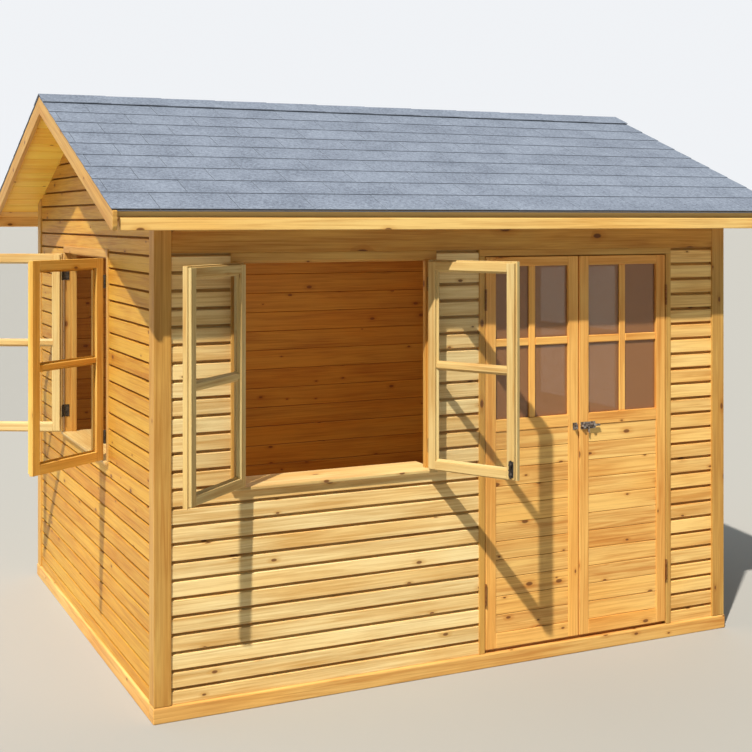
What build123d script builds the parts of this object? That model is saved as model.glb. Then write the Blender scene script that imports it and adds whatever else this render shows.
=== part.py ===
from build123d import *
from math import cos, radians, sin, tan
import os

# A wooden garden summerhouse: floor on bearers, four framed walls, three
# casement windows, a pair of half-glazed doors and a pitched shingle roof.
# Millimetres, Z up, origin on the ground under the middle of the base,
# X along the front, Y from the front to the back.

# base and floor
RAIL_HEIGHT = 67
RAIL_WIDTH = 70
RAIL_CHAMFER = 6
BEARER_WIDTH = 45
BEARER_COUNT = 5
FLOOR_THICKNESS = 18

# posts and walls; an inset is measured in from the outer face of the base rail
POST_SIZE = 76
POST_INSET = 4
WALL_INSET = 12
WALL_THICKNESS = 58
TRIM_INSET = 6
LEFT_PIER = 261
MIDDLE_PIER = 225
RIGHT_PIER = 260
SIDE_FRONT_PIER = 735
SIDE_BACK_PIER = 636
HEADER_HEIGHT = 235

# windows: two outward casements in a frame on a deep sill board
WINDOW_WIDTH = 933
WINDOW_JAMB = 28
WINDOW_HEAD = 38
WINDOW_STOP = 10
SILL_UNDERSIDE = 937
SILL_THICKNESS = 15
SILL_NOSE = 6
SILL_DEPTH = 214
SASH_GAP = 4
SASH_STOP_GAP = 2
SASH_MEMBER = 45
SASH_THICKNESS = 36
SASH_GLASS_INSET = 12
FRONT_LEFT_OPEN = 138
FRONT_RIGHT_OPEN = 119
SIDE_FRONT_OPEN = 125
SIDE_BACK_OPEN = 118

# glass and its groove
GLASS_THICKNESS = 4
GROOVE_DEPTH = 7
GLASS_EDGE_GAP = 1

# doors: two outward leaves, glazed above a boarded panel
DOOR_WIDTH = 514
DOOR_HEIGHT = 1834
DOOR_THICKNESS = 38
DOOR_SIDE_GAP = 5
DOOR_MEETING_GAP = 7
DOOR_HEAD_GAP = 5
DOOR_FLOOR_GAP = 16
DOOR_STOP_GAP = 5
DOOR_STOP = 12
DOOR_JAMB = 30
DOOR_HEAD = 30
DOOR_STILE = 55
DOOR_TOP_RAIL = 50
DOOR_LOCK_RAIL = 68
DOOR_BOTTOM_RAIL = 75
DOOR_GLASS_HEIGHT = 708
DOOR_GLASS_INSET = 14
PANEL_THICKNESS = 12
PANEL_INSET = 10

# butt hinges
KNUCKLE_RADIUS = 5
KNUCKLE_COUNT = 5
KNUCKLE_GAP = 0.5
HINGE_FLAP = 26
HINGE_PLATE = 2
DOOR_HINGE_LENGTH = 100
DOOR_HINGE_FROM_TOP = 200
DOOR_HINGE_FROM_BOTTOM = 258
SASH_HINGE_LENGTH = 64
SASH_HINGE_INSET = 110

# sliding bolt on the right leaf, drawn back, and its keeper on the left leaf
BOLT_DROP = 64
BOLT_PLATE_LENGTH = 84
BOLT_PLATE_HEIGHT = 34
BOLT_PLATE_THICKNESS = 2
BOLT_EDGE = 7
BOLT_RADIUS = 6
BOLT_REACH = 104
STRAP_WIDTH = 12
STRAP_HEIGHT = 22
STRAP_DEPTH = 16
STRAP_EDGE = 8
HANDLE_RADIUS = 4
HANDLE_DROP = 34
KEEPER_LENGTH = 24
KEEPER_EDGE = 7
KEEPER_STAPLE = 12
KEEPER_PLAY = 0.5

# roof
ROOF_PITCH = 21.1
EAVE_OVERHANG = 207
VERGE_OVERHANG = 226
DECK_THICKNESS = 32
SHINGLE_THICKNESS = 8
SHINGLE_DRIP = 22
SHINGLE_LAP = 4
FASCIA_HEIGHT = 50
FASCIA_THICKNESS = 20
FASCIA_PROUD = 8
FASCIA_END_GAP = 12
BARGE_WIDTH = 82
BARGE_THICKNESS = 20
BARGE_PAST_FASCIA = 17
BARGE_ROUND = 22
CAP_WING = 130
CAP_THICKNESS = 6
RIDGE_BEAM_WIDTH = 45
RIDGE_BEAM_DEPTH = 95
PURLIN_WIDTH = 45
PURLIN_DEPTH = 70
PURLIN_SHARE = 0.5

# plan and heights that follow from the sizes above
POST_END = POST_INSET + POST_SIZE
WALL_INNER = WALL_INSET + WALL_THICKNESS
WINDOW_ROUGH = WINDOW_WIDTH + 2 * WINDOW_JAMB
DOOR_CLEAR = 2 * DOOR_WIDTH + 2 * DOOR_SIDE_GAP + DOOR_MEETING_GAP
DOOR_ROUGH = DOOR_CLEAR + 2 * DOOR_JAMB
LENGTH = 2 * POST_END + LEFT_PIER + WINDOW_ROUGH + MIDDLE_PIER + DOOR_ROUGH + RIGHT_PIER
DEPTH = 2 * POST_END + SIDE_FRONT_PIER + WINDOW_ROUGH + SIDE_BACK_PIER
HALF_LENGTH = LENGTH / 2
HALF_DEPTH = DEPTH / 2

WINDOW_LEFT = -HALF_LENGTH + POST_END + LEFT_PIER
WINDOW_RIGHT = WINDOW_LEFT + WINDOW_ROUGH
DOOR_LEFT = WINDOW_RIGHT + MIDDLE_PIER
DOOR_RIGHT = DOOR_LEFT + DOOR_ROUGH
SIDE_WINDOW_FRONT = -HALF_DEPTH + POST_END + SIDE_FRONT_PIER
SIDE_WINDOW_BACK = SIDE_WINDOW_FRONT + WINDOW_ROUGH

DOOR_BOTTOM = RAIL_HEIGHT + DOOR_FLOOR_GAP
DOOR_TOP = DOOR_BOTTOM + DOOR_HEIGHT
DOOR_HEAD_UNDERSIDE = DOOR_TOP + DOOR_HEAD_GAP
HEAD_TOP = DOOR_HEAD_UNDERSIDE + DOOR_HEAD
WALL_TOP = HEAD_TOP + HEADER_HEIGHT
SILL_TOP = SILL_UNDERSIDE + SILL_THICKNESS
WINDOW_HEAD_UNDERSIDE = HEAD_TOP - WINDOW_HEAD
SASH_BOTTOM = SILL_TOP + SASH_GAP
SASH_TOP = WINDOW_HEAD_UNDERSIDE - SASH_GAP
SASH_HEIGHT = SASH_TOP - SASH_BOTTOM
SASH_WIDTH = (WINDOW_WIDTH - 3 * SASH_GAP) / 2
HINGE_STANDOFF = KNUCKLE_RADIUS + KNUCKLE_GAP
AXIS_INSET = TRIM_INSET - HINGE_STANDOFF

SLOPE = tan(radians(ROOF_PITCH))
ALONG = cos(radians(ROOF_PITCH))
ACROSS = sin(radians(ROOF_PITCH))
DECK_RISE = DECK_THICKNESS / ALONG
SHINGLE_RISE = SHINGLE_THICKNESS / ALONG
CAP_RISE = CAP_THICKNESS / ALONG
BARGE_DROP = BARGE_WIDTH / ALONG
VERGE = HALF_LENGTH + VERGE_OVERHANG
DECK_END = VERGE - BARGE_THICKNESS
FASCIA_END = DECK_END - FASCIA_END_GAP
FASCIA_FACE = EAVE_OVERHANG + FASCIA_PROUD
BARGE_FOOT = FASCIA_FACE + BARGE_PAST_FASCIA
SHINGLE_EDGE = EAVE_OVERHANG + SHINGLE_DRIP


def slab(x, y, z):
    """Block between two limits along each axis."""
    size = [high - low for low, high in (x, y, z)]
    middle = [(low + high) / 2 for low, high in (x, y, z)]
    return Pos(*middle) * Box(*size)


def prism(points, x):
    """Outline in the Y-Z plane, drawn out between two limits along X."""
    outline = Plane.YZ * make_face(Polyline(*points, close=True))
    return Pos(x[0], 0, 0) * extrude(outline, amount=x[1] - x[0])


def both(span):
    """A limit on either side of the middle."""
    return (-span, span)


def front(inset):
    return -HALF_DEPTH + inset


def under_roof(y):
    """Height of the underside of the roof deck over a place in the front half."""
    return WALL_TOP + (y - front(WALL_INSET)) * SLOPE


def up_to_roof(outer, inner, foot):
    """Outline of an upright piece in the front half, from its foot to the underside of the roof."""
    return [(outer, foot), (inner, foot), (inner, under_roof(inner)), (outer, under_roof(outer))]


def front_and_back(piece):
    return [piece, mirror(piece, about=Plane.XZ)]


def left_and_right(piece):
    return [piece, mirror(piece, about=Plane.YZ)]


# base, floor and posts

def base_rails_long():
    rail = slab(both(HALF_LENGTH), (front(0), front(RAIL_WIDTH)), (0, RAIL_HEIGHT))
    edge = rail.edges().filter_by(Axis.X).group_by(Axis.Z)[-1].sort_by(Axis.Y)[0]
    return front_and_back(chamfer(edge, RAIL_CHAMFER))


def base_rails_short():
    rail = slab((-HALF_LENGTH, RAIL_WIDTH - HALF_LENGTH), both(HALF_DEPTH - RAIL_WIDTH),
                (0, RAIL_HEIGHT))
    edge = rail.edges().filter_by(Axis.Y).group_by(Axis.Z)[-1].sort_by(Axis.X)[0]
    return left_and_right(chamfer(edge, RAIL_CHAMFER))


def floor_bearers():
    reach = HALF_LENGTH - RAIL_WIDTH
    step = 2 * reach / (BEARER_COUNT + 1)
    top = RAIL_HEIGHT - FLOOR_THICKNESS
    bearer = slab(both(BEARER_WIDTH / 2), both(HALF_DEPTH - RAIL_WIDTH), (0, top))
    return [Pos(step * (count + 1) - reach, 0, 0) * bearer for count in range(BEARER_COUNT)]


def floor_deck():
    return [slab(both(HALF_LENGTH - RAIL_WIDTH), both(HALF_DEPTH - RAIL_WIDTH),
                 (RAIL_HEIGHT - FLOOR_THICKNESS, RAIL_HEIGHT))]


def corner_posts():
    outline = up_to_roof(front(POST_INSET), front(POST_END), RAIL_HEIGHT)
    pair = left_and_right(prism(outline, (POST_INSET - HALF_LENGTH, POST_END - HALF_LENGTH)))
    return [post for side in pair for post in front_and_back(side)]


# walls

def front_wall_piers():
    spans = [(POST_END - HALF_LENGTH, WINDOW_LEFT), (WINDOW_RIGHT, DOOR_LEFT),
             (DOOR_RIGHT, HALF_LENGTH - POST_END)]
    y = (front(WALL_INSET), front(WALL_INNER))
    return [slab(span, y, (RAIL_HEIGHT, HEAD_TOP)) for span in spans]


def front_wall_below_window():
    return [slab((WINDOW_LEFT, WINDOW_RIGHT), (front(WALL_INSET), front(WALL_INNER)),
                 (RAIL_HEIGHT, SILL_UNDERSIDE))]


def front_wall_header():
    outline = up_to_roof(front(TRIM_INSET), front(WALL_INNER), HEAD_TOP)
    return [prism(outline, both(HALF_LENGTH - POST_END))]


def back_wall():
    outline = up_to_roof(front(WALL_INSET), front(WALL_INNER), RAIL_HEIGHT)
    return [mirror(prism(outline, both(HALF_LENGTH - POST_END)), about=Plane.XZ)]


def side_span():
    return (WALL_INSET - HALF_LENGTH, WALL_INNER - HALF_LENGTH)


def left_wall_piers():
    spans = [(front(POST_END), SIDE_WINDOW_FRONT), (SIDE_WINDOW_BACK, HALF_DEPTH - POST_END)]
    return [slab(side_span(), span, (RAIL_HEIGHT, HEAD_TOP)) for span in spans]


def left_wall_below_window():
    return [slab(side_span(), (SIDE_WINDOW_FRONT, SIDE_WINDOW_BACK), (RAIL_HEIGHT, SILL_UNDERSIDE))]


def left_gable():
    foot = front(POST_END)
    outline = [(foot, HEAD_TOP), (-foot, HEAD_TOP), (-foot, under_roof(foot)),
               (0, under_roof(0)), (foot, under_roof(foot))]
    return [prism(outline, side_span())]


def on_the_right(pieces):
    return [mirror(piece, about=Plane.YZ) for piece in pieces]


# hinges

def knuckle(bottom, height):
    return Pos(0, 0, bottom + height / 2) * Cylinder(KNUCKLE_RADIUS, height)


def hinge_half(side, gap, length, bottoms, height):
    """Flap against a face beside the axis, with its knuckles; side is -1 or 1."""
    face, free = side * gap / 2, side * (gap / 2 - HINGE_PLATE)
    across = (min(face, free), max(face, free))
    half = slab(across, (HINGE_STANDOFF, HINGE_STANDOFF + HINGE_FLAP), both(length / 2))
    for bottom in bottoms:
        half += slab(across, (0, HINGE_STANDOFF), (bottom, bottom + height))
        half += knuckle(bottom, height)
    return half


def door_hinge_halves():
    """Fixed and moving half of one hinge, its axis on Z, the leaf on the +X side."""
    step = (DOOR_HINGE_LENGTH + KNUCKLE_GAP) / KNUCKLE_COUNT
    height = step - KNUCKLE_GAP
    bottoms = [count * step - DOOR_HINGE_LENGTH / 2 for count in range(KNUCKLE_COUNT)]
    fixed = hinge_half(-1, DOOR_SIDE_GAP, DOOR_HINGE_LENGTH, bottoms[0::2], height)
    moving = hinge_half(1, DOOR_SIDE_GAP, DOOR_HINGE_LENGTH, bottoms[1::2], height)
    return fixed, moving


def sash_hinge(angle):
    """Both halves of one window hinge, standing open at a fixed angle."""
    bottoms = [-SASH_HINGE_LENGTH / 2]
    fixed = hinge_half(-1, SASH_GAP, SASH_HINGE_LENGTH, bottoms, SASH_HINGE_LENGTH)
    moving = hinge_half(1, SASH_GAP, SASH_HINGE_LENGTH, bottoms, SASH_HINGE_LENGTH)
    return fixed + Rot(0, 0, -angle) * moving


# windows, drawn with X along the wall, Y inwards from the base rail's face

def grooved(frame, x, z, groove, thickness):
    """Cut an opening through a frame and the groove that holds its filling."""
    depth = frame.bounding_box()
    frame -= slab(x, (depth.min.Y, depth.max.Y), z)
    wide = (x[0] - GROOVE_DEPTH, x[1] + GROOVE_DEPTH)
    tall = (z[0] - GROOVE_DEPTH, z[1] + GROOVE_DEPTH)
    return frame - slab(wide, (groove, groove + thickness), tall)


def filling(x, z, groove, thickness):
    """Pane or panel that stands in the groove."""
    hold = GROOVE_DEPTH - GLASS_EDGE_GAP
    return slab((x[0] - hold, x[1] + hold), (groove, groove + thickness), (z[0] - hold, z[1] + hold))


def sash():
    """Left-hung casement and its pane, closed, with the hinge axis on Z."""
    x = (SASH_GAP / 2, SASH_GAP / 2 + SASH_WIDTH)
    y = (HINGE_STANDOFF, HINGE_STANDOFF + SASH_THICKNESS)
    z = (SASH_BOTTOM, SASH_TOP)
    clear_x = (x[0] + SASH_MEMBER, x[1] - SASH_MEMBER)
    clear_z = (z[0] + SASH_MEMBER, z[1] - SASH_MEMBER)
    groove = y[0] + SASH_GLASS_INSET
    frame = grooved(slab(x, y, z), clear_x, clear_z, groove, GLASS_THICKNESS)
    return frame, filling(clear_x, clear_z, groove, GLASS_THICKNESS)


def casements(left_angle, right_angle):
    """Frames, panes and hinges of the two casements of one window."""
    frames, panes, hinges = [], [], []
    axis = Pos((SASH_GAP - WINDOW_WIDTH) / 2, AXIS_INSET, 0)
    heights = (SASH_BOTTOM + SASH_HINGE_INSET, SASH_TOP - SASH_HINGE_INSET)
    for angle, right in ((left_angle, False), (right_angle, True)):
        frame, pane = sash()
        pieces = [axis * Rot(0, 0, -angle) * frame, axis * Rot(0, 0, -angle) * pane]
        pieces += [axis * Pos(0, 0, height) * sash_hinge(angle) for height in heights]
        if right:
            pieces = on_the_right(pieces)
        frames.append(pieces[0])
        panes.append(pieces[1])
        hinges += pieces[2:]
    return frames, panes, hinges


def window_sill():
    return slab(both(WINDOW_ROUGH / 2), (-SILL_NOSE, SILL_DEPTH), (SILL_UNDERSIDE, SILL_TOP))


def window_jambs():
    stop = TRIM_INSET + SASH_THICKNESS + SASH_STOP_GAP
    z = (SILL_TOP, WINDOW_HEAD_UNDERSIDE)
    face = -WINDOW_WIDTH / 2
    jamb = slab((-WINDOW_ROUGH / 2, face), (TRIM_INSET, WALL_INNER), z)
    jamb += slab((face, face + WINDOW_STOP), (stop, WALL_INNER), z)
    return left_and_right(jamb)


def window_head():
    stop = TRIM_INSET + SASH_THICKNESS + SASH_STOP_GAP
    head = slab(both(WINDOW_ROUGH / 2), (TRIM_INSET, WALL_INNER), (WINDOW_HEAD_UNDERSIDE, HEAD_TOP))
    return head + slab(both(WINDOW_WIDTH / 2 - WINDOW_STOP), (stop, WALL_INNER),
                       (WINDOW_HEAD_UNDERSIDE - WINDOW_STOP, WINDOW_HEAD_UNDERSIDE))


FRONT_PLACE = Pos((WINDOW_LEFT + WINDOW_RIGHT) / 2, front(0), 0)
SIDE_WINDOW_MIDDLE = (SIDE_WINDOW_FRONT + SIDE_WINDOW_BACK) / 2
LEFT_PLACE = Pos(-HALF_LENGTH, SIDE_WINDOW_MIDDLE, 0) * Rot(0, 0, -90)
RIGHT_PLACE = Pos(HALF_LENGTH, SIDE_WINDOW_MIDDLE, 0) * Rot(0, 0, 90)
PLACES = (FRONT_PLACE, LEFT_PLACE, RIGHT_PLACE)


def at_every_window(pieces):
    return [place * piece for place in PLACES for piece in pieces]


# doors

def door_jambs():
    stop = TRIM_INSET + DOOR_THICKNESS + DOOR_STOP_GAP
    z = (RAIL_HEIGHT, DOOR_HEAD_UNDERSIDE)
    face = DOOR_LEFT + DOOR_JAMB
    jamb = slab((DOOR_LEFT, face), (front(TRIM_INSET), front(WALL_INNER)), z)
    jamb += slab((face, face + DOOR_STOP), (front(stop), front(WALL_INNER)), z)
    return [jamb, on_the_right_of_door(jamb)]


def door_head():
    stop = TRIM_INSET + DOOR_THICKNESS + DOOR_STOP_GAP
    head = slab((DOOR_LEFT, DOOR_RIGHT), (front(TRIM_INSET), front(WALL_INNER)),
                (DOOR_HEAD_UNDERSIDE, HEAD_TOP))
    ends = (DOOR_LEFT + DOOR_JAMB + DOOR_STOP, DOOR_RIGHT - DOOR_JAMB - DOOR_STOP)
    return [head + slab(ends, (front(stop), front(WALL_INNER)),
                        (DOOR_HEAD_UNDERSIDE - DOOR_STOP, DOOR_HEAD_UNDERSIDE))]


def on_the_right_of_door(piece):
    return mirror(piece, about=Plane.YZ.offset((DOOR_LEFT + DOOR_RIGHT) / 2))


LEAF_START = DOOR_LEFT + DOOR_JAMB + DOOR_SIDE_GAP
LEAF_X = (LEAF_START, LEAF_START + DOOR_WIDTH)
LEAF_CLEAR = (LEAF_X[0] + DOOR_STILE, LEAF_X[1] - DOOR_STILE)
GLASS_TOP = DOOR_TOP - DOOR_TOP_RAIL
GLASS_BOTTOM = GLASS_TOP - DOOR_GLASS_HEIGHT
PANEL_TOP = GLASS_BOTTOM - DOOR_LOCK_RAIL
BOLT_HEIGHT = GLASS_BOTTOM - BOLT_DROP
PANEL_BOTTOM = DOOR_BOTTOM + DOOR_BOTTOM_RAIL
LEAF_GLASS_Y = front(TRIM_INSET + DOOR_GLASS_INSET)
LEAF_PANEL_Y = front(TRIM_INSET + PANEL_INSET)


def door_leaf():
    y = (front(TRIM_INSET), front(TRIM_INSET + DOOR_THICKNESS))
    frame = slab(LEAF_X, y, (DOOR_BOTTOM, DOOR_TOP))
    frame = grooved(frame, LEAF_CLEAR, (GLASS_BOTTOM, GLASS_TOP), LEAF_GLASS_Y, GLASS_THICKNESS)
    return grooved(frame, LEAF_CLEAR, (PANEL_BOTTOM, PANEL_TOP), LEAF_PANEL_Y, PANEL_THICKNESS)


def door_glass():
    return filling(LEAF_CLEAR, (GLASS_BOTTOM, GLASS_TOP), LEAF_GLASS_Y, GLASS_THICKNESS)


def door_panel():
    return filling(LEAF_CLEAR, (PANEL_BOTTOM, PANEL_TOP), LEAF_PANEL_Y, PANEL_THICKNESS)


def door_hinges(half):
    axis_x = DOOR_LEFT + DOOR_JAMB + DOOR_SIDE_GAP / 2
    heights = (DOOR_BOTTOM + DOOR_HINGE_FROM_BOTTOM, DOOR_TOP - DOOR_HINGE_FROM_TOP)
    return [Pos(axis_x, front(AXIS_INSET), height) * half for height in heights]


def door_bolt():
    """Drawn for a leaf that meets on its right edge; the bolt lies along X."""
    face = front(TRIM_INSET)
    edge = LEAF_X[1] - BOLT_EDGE
    start = edge - BOLT_PLATE_LENGTH
    plate_face = face - BOLT_PLATE_THICKNESS
    middle = plate_face - STRAP_DEPTH / 2
    bolt = slab((start, edge), (plate_face, face), both(BOLT_PLATE_HEIGHT / 2))
    bolt += Pos(edge - BOLT_REACH / 2, middle, 0) * Rot(0, 90, 0) * Cylinder(BOLT_RADIUS, BOLT_REACH)
    for place in (start + STRAP_EDGE, edge - STRAP_EDGE - STRAP_WIDTH):
        bolt += slab((place, place + STRAP_WIDTH), (plate_face - STRAP_DEPTH, plate_face),
                     both(STRAP_HEIGHT / 2))
    drop = Pos((start + edge) / 2, middle, -HANDLE_DROP / 2) * Cylinder(HANDLE_RADIUS, HANDLE_DROP)
    return Pos(0, 0, BOLT_HEIGHT) * (bolt + drop)


def door_bolt_keeper():
    face = front(TRIM_INSET)
    edge = LEAF_X[1] - KEEPER_EDGE
    plate_face = face - BOLT_PLATE_THICKNESS
    keeper = slab((edge - KEEPER_LENGTH, edge), (plate_face, face), both(BOLT_PLATE_HEIGHT / 2))
    middle = edge - KEEPER_LENGTH / 2
    staple = slab((middle - KEEPER_STAPLE / 2, middle + KEEPER_STAPLE / 2),
                  (plate_face - STRAP_DEPTH, plate_face), both(STRAP_HEIGHT / 2))
    hole = Rot(0, 90, 0) * Cylinder(BOLT_RADIUS + KEEPER_PLAY, KEEPER_LENGTH)
    hole = Pos(middle, plate_face - STRAP_DEPTH / 2, 0) * hole
    return Pos(0, 0, BOLT_HEIGHT) * (keeper + (staple - hole))


# roof

def roof_sheet(start, end, low, thick):
    """Sloping sheet up to the ridge; start is out from the wall, low is above the deck's underside."""
    foot = front(-start)
    outline = [(foot, under_roof(foot) + low), (0, under_roof(0) + low),
               (0, under_roof(0) + low + thick), (foot, under_roof(foot) + low + thick)]
    return prism(outline, both(end))


def front_roof_deck():
    return [roof_sheet(EAVE_OVERHANG, DECK_END, 0, DECK_RISE)]


def front_shingles():
    return [roof_sheet(SHINGLE_EDGE, VERGE + SHINGLE_LAP, DECK_RISE, SHINGLE_RISE)]


def at_the_back(pieces):
    return [mirror(piece, about=Plane.XZ) for piece in pieces]


def ridge_cap():
    wing = CAP_WING * ALONG
    low = DECK_RISE + SHINGLE_RISE
    top, foot = under_roof(0) + low, under_roof(-wing) + low
    outline = [(-wing, foot), (0, top), (wing, foot), (wing, foot + CAP_RISE), (0, top + CAP_RISE),
               (-wing, foot + CAP_RISE)]
    return [prism(outline, both(VERGE + SHINGLE_LAP))]


def fascia_boards():
    face, rear = front(-FASCIA_FACE), front(FASCIA_THICKNESS - FASCIA_FACE)
    foot = under_roof(face) - FASCIA_HEIGHT
    outline = [(face, foot), (rear, foot), (rear, under_roof(rear)), (face, under_roof(face))]
    return front_and_back(prism(outline, both(FASCIA_END)))


def front_bargeboards():
    foot = front(-BARGE_FOOT)
    low = DECK_RISE - BARGE_DROP
    outline = [(foot, under_roof(foot) + low), (0, under_roof(0) + low),
               (0, under_roof(0) + DECK_RISE), (foot, under_roof(foot) + DECK_RISE)]
    board = prism(outline, (-VERGE, -DECK_END))
    return left_and_right(fillet(board.edges().filter_by(Axis.X).sort_by(Axis.Z)[0], BARGE_ROUND))


def ridge_beam():
    half = RIDGE_BEAM_WIDTH / 2
    foot = under_roof(0) - RIDGE_BEAM_DEPTH
    outline = [(-half, foot), (half, foot), (half, under_roof(-half)), (0, under_roof(0)),
               (-half, under_roof(-half))]
    return prism(outline, both(HALF_LENGTH - WALL_INNER))


def roof_purlins():
    middle = front(WALL_INNER) * PURLIN_SHARE
    run, rise = PURLIN_WIDTH / 2 * ALONG, PURLIN_WIDTH / 2 * ACROSS
    back, down = PURLIN_DEPTH * ACROSS, PURLIN_DEPTH * ALONG
    height = under_roof(middle)
    outline = [(middle - run, height - rise), (middle + run, height + rise),
               (middle + run + back, height + rise - down), (middle - run + back, height - rise - down)]
    return front_and_back(prism(outline, both(HALF_LENGTH - WALL_INNER)))


def build():
    nodes = {
        "base_rails_long": base_rails_long(),
        "base_rails_short": base_rails_short(),
        "floor_bearers": floor_bearers(),
        "floor_deck": floor_deck(),
        "corner_posts": corner_posts(),
        "front_wall_piers": front_wall_piers(),
        "front_wall_below_window": front_wall_below_window(),
        "front_wall_header": front_wall_header(),
        "back_wall": back_wall(),
        "left_wall_piers": left_wall_piers(),
        "left_wall_below_window": left_wall_below_window(),
        "left_gable": left_gable(),
        "right_wall_piers": on_the_right(left_wall_piers()),
        "right_wall_below_window": on_the_right(left_wall_below_window()),
        "right_gable": on_the_right(left_gable()),
        "window_sills": at_every_window([window_sill()]),
        "window_jambs": at_every_window(window_jambs()),
        "window_heads": at_every_window([window_head()]),
        "door_jambs": door_jambs(),
        "door_head": door_head(),
        "front_roof_deck": front_roof_deck(),
        "back_roof_deck": at_the_back(front_roof_deck()),
        "front_shingles": front_shingles(),
        "back_shingles": at_the_back(front_shingles()),
        "ridge_cap": ridge_cap(),
        "fascia_boards": fascia_boards(),
        "front_bargeboards": front_bargeboards(),
        "back_bargeboards": at_the_back(front_bargeboards()),
        "roof_beams": [ridge_beam()] + roof_purlins(),
    }
    window_glass, window_hinges = [], []
    angles = ((FRONT_LEFT_OPEN, FRONT_RIGHT_OPEN), (SIDE_BACK_OPEN, SIDE_FRONT_OPEN), (0, 0))
    for name, place, (left, right) in zip(("front", "left", "right"), PLACES, angles):
        frames, panes, hinges = casements(left, right)
        nodes[name + "_window_sashes"] = [place * frame for frame in frames]
        window_glass += [place * pane for pane in panes]
        window_hinges += [place * hinge for hinge in hinges]
    nodes["window_glass"] = window_glass
    nodes["window_hinges"] = window_hinges

    fixed, moving = door_hinge_halves()
    fixed_hinges = door_hinges(fixed)
    nodes["door_frame_hinges"] = fixed_hinges + [on_the_right_of_door(hinge) for hinge in fixed_hinges]
    leaf = {"door_leaf": [door_leaf()], "door_panel": [door_panel()], "door_glass": [door_glass()],
            "door_hinges": door_hinges(moving)}
    for name, pieces in leaf.items():
        nodes["left_" + name] = pieces
        nodes["right_" + name] = [on_the_right_of_door(piece) for piece in pieces]
    nodes["left_door_keeper"] = [door_bolt_keeper()]
    nodes["right_door_bolt"] = [on_the_right_of_door(door_bolt())]
    return nodes


os.makedirs("parts", exist_ok=True)
for node, pieces in build().items():
    solids = [solid for piece in pieces for solid in piece.solids()]
    export_step(Compound(children=solids), f"parts/{node}.step")
    print(node, len(solids))
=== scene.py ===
# %% [markdown]
# # A wooden summerhouse
# A small timber garden building stands on a low frame of rails. Its walls are boards, its roof is
# a deck of boards under felt shingles, and it has a pair of glazed doors and three pairs of
# casements. The CAD model gives every size. Here each plain slab becomes the boards, bars and
# shingles that the real one is made of, so that light finds true edges and grooves.

# %% Load the frame
import math
import random

import bmesh
import bpy
from mathutils import Matrix, Vector


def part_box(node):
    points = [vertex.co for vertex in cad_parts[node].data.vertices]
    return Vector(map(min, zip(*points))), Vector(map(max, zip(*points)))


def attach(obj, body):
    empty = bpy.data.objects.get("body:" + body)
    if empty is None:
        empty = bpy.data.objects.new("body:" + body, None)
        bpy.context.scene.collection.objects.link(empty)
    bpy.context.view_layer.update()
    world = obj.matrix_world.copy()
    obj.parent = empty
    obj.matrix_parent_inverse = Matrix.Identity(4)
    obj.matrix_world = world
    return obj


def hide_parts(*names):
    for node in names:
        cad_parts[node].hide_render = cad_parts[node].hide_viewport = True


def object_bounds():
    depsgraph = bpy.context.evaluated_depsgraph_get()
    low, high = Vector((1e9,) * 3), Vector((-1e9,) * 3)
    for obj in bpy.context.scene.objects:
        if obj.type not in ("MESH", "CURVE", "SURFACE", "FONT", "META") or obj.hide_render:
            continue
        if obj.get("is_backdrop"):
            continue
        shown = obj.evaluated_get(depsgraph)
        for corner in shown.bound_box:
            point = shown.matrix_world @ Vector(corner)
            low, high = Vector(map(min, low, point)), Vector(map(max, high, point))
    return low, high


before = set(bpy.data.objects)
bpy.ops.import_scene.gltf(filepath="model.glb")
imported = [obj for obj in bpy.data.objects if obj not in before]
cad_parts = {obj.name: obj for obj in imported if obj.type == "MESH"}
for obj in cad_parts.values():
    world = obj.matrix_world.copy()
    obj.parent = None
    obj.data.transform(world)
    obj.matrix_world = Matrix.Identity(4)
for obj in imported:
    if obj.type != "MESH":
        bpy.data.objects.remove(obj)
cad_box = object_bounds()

print("CAD box", [[round(c, 3) for c in corner] for corner in cad_box])

# %% [markdown]
# ## Reading sizes from the frame
# A CAD node can hold several solids, such as the three piers of the front wall. A joiner would put
# a tape on each one. The helper below walks over the joined edges of a node's mesh to find its
# separate solids, and gives the lowest and highest corner of each.

# %% Measure the solids of a node
MERGE = 0.00005  # corners closer than this are one corner


def node_mesh(node):
    """A copy of a CAD node's mesh, with its shared corners joined."""
    bm = bmesh.new()
    bm.from_mesh(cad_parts[node].data)
    bmesh.ops.remove_doubles(bm, verts=bm.verts, dist=MERGE)
    return bm


def islands(bm):
    """The separate solids of a mesh, each as a list of its corners."""
    seen, found = set(), []
    for start in bm.verts:
        if start not in seen:
            seen.add(start)
            island = [start]
            for vert in island:
                for edge in vert.link_edges:
                    other = edge.other_vert(vert)
                    if other not in seen:
                        seen.add(other)
                        island.append(other)
            found.append(island)
    return found


def extent(verts):
    """The lowest and highest corner round some vertices."""
    return tuple(Vector([pick(v.co[i] for v in verts) for i in range(3)]) for pick in (min, max))


def solids(node):
    """The box of each solid of a CAD node, in order along X, then Y, then Z."""
    bm = node_mesh(node)
    boxes = sorted((extent(island) for island in islands(bm)), key=lambda box: tuple(box[0]))
    bm.free()
    return boxes


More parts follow.
